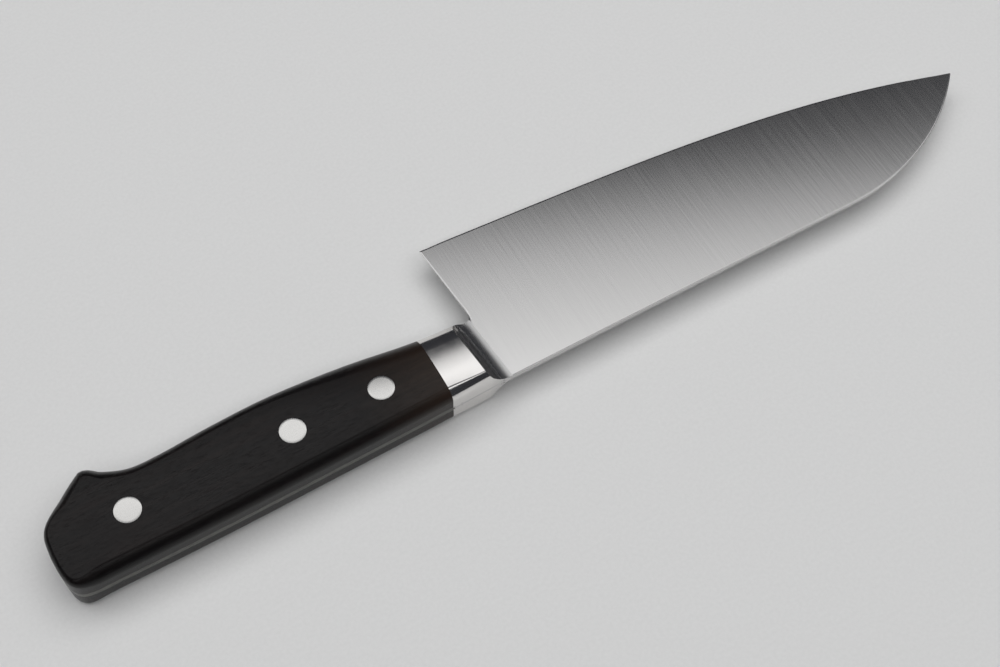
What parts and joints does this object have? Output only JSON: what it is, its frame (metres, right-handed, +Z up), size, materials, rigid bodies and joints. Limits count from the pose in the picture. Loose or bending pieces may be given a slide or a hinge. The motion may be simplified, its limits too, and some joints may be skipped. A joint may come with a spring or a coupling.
{
  "type": "chef knife",
  "caption": "Japanese-style chef's knife with a low flat edge, a dropped spine, a full tang, a polished bolster and dark riveted scales with a hooked butt.",
  "frame": {"origin": "bottom centre of the bounding box, with the knife lying on the right flank of its handle", "axes": "+X from the butt to the tip, +Y from the spine to the cutting edge, +Z up out of the left face of the blade"},
  "size_m": [0.292, 0.048, 0.016],
  "materials": {
    "blade_steel": "satin, with fine grinding lines across the blade",
    "bolster_steel": "polished stainless steel",
    "handle_wood": "near-black reddish brown wood, oiled to a low sheen",
    "rivet_steel": "finely polished"
  },
  "bodies": {
    "root": {"blade": "blade_steel", "bolster_left": "bolster_steel", "bolster_right": "bolster_steel", "scale_left": "handle_wood", "scale_right": "handle_wood", "front_rivet_sleeve": "rivet_steel", "front_rivet_pin": "rivet_steel", "middle_rivet_sleeve": "rivet_steel", "middle_rivet_pin": "rivet_steel", "rear_rivet_sleeve": "rivet_steel", "rear_rivet_pin": "rivet_steel"}
  },
  "joints": []
}
